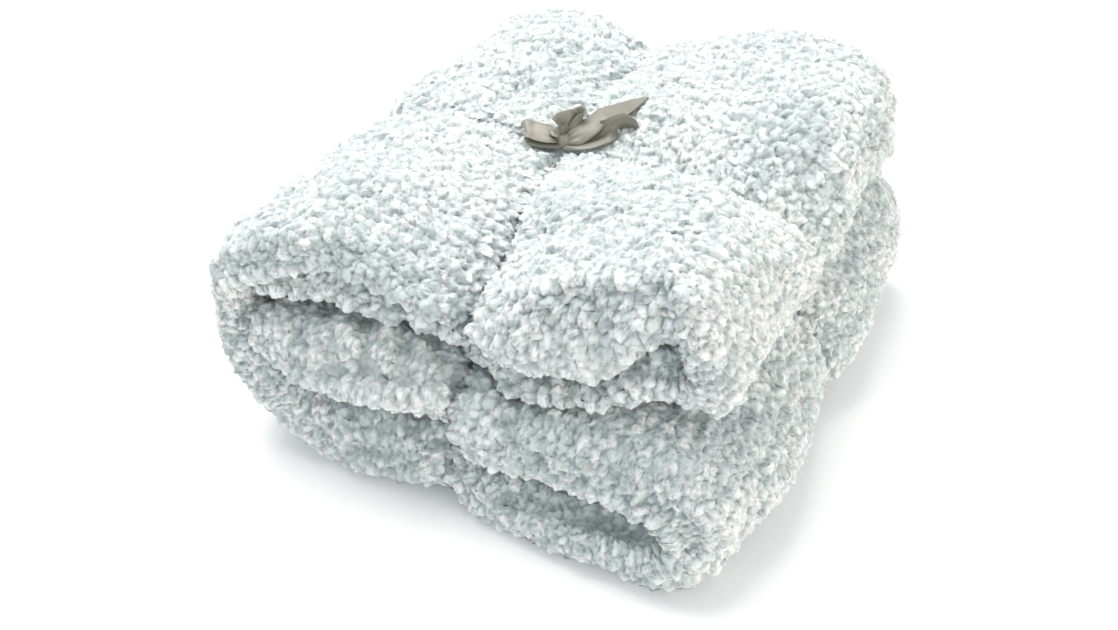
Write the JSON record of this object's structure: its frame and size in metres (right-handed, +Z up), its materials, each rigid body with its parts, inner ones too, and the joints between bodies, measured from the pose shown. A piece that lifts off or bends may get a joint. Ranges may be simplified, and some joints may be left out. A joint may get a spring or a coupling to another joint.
{
  "type": "fleece throw",
  "caption": "Plush fleece throw folded into a thick square bundle with four soft lobes, tied crosswise with a narrow satin ribbon and a bow.",
  "frame": {"origin": "on the surface it rests on, under the middle of the folded bundle", "axes": "+Z up; the folded layers show their ends at the front, -Y, and lie open at the back, +Y; the two bends are on the right, +X, and the outer wrap is on the left, -X"},
  "size_m": [0.3936, 0.3886, 0.212],
  "materials": {
    "fleece": "plush pile",
    "satin": "satin"
  },
  "bodies": {
    "root": {"throw": "fleece", "ribbon": "satin"}
  },
  "joints": []
}
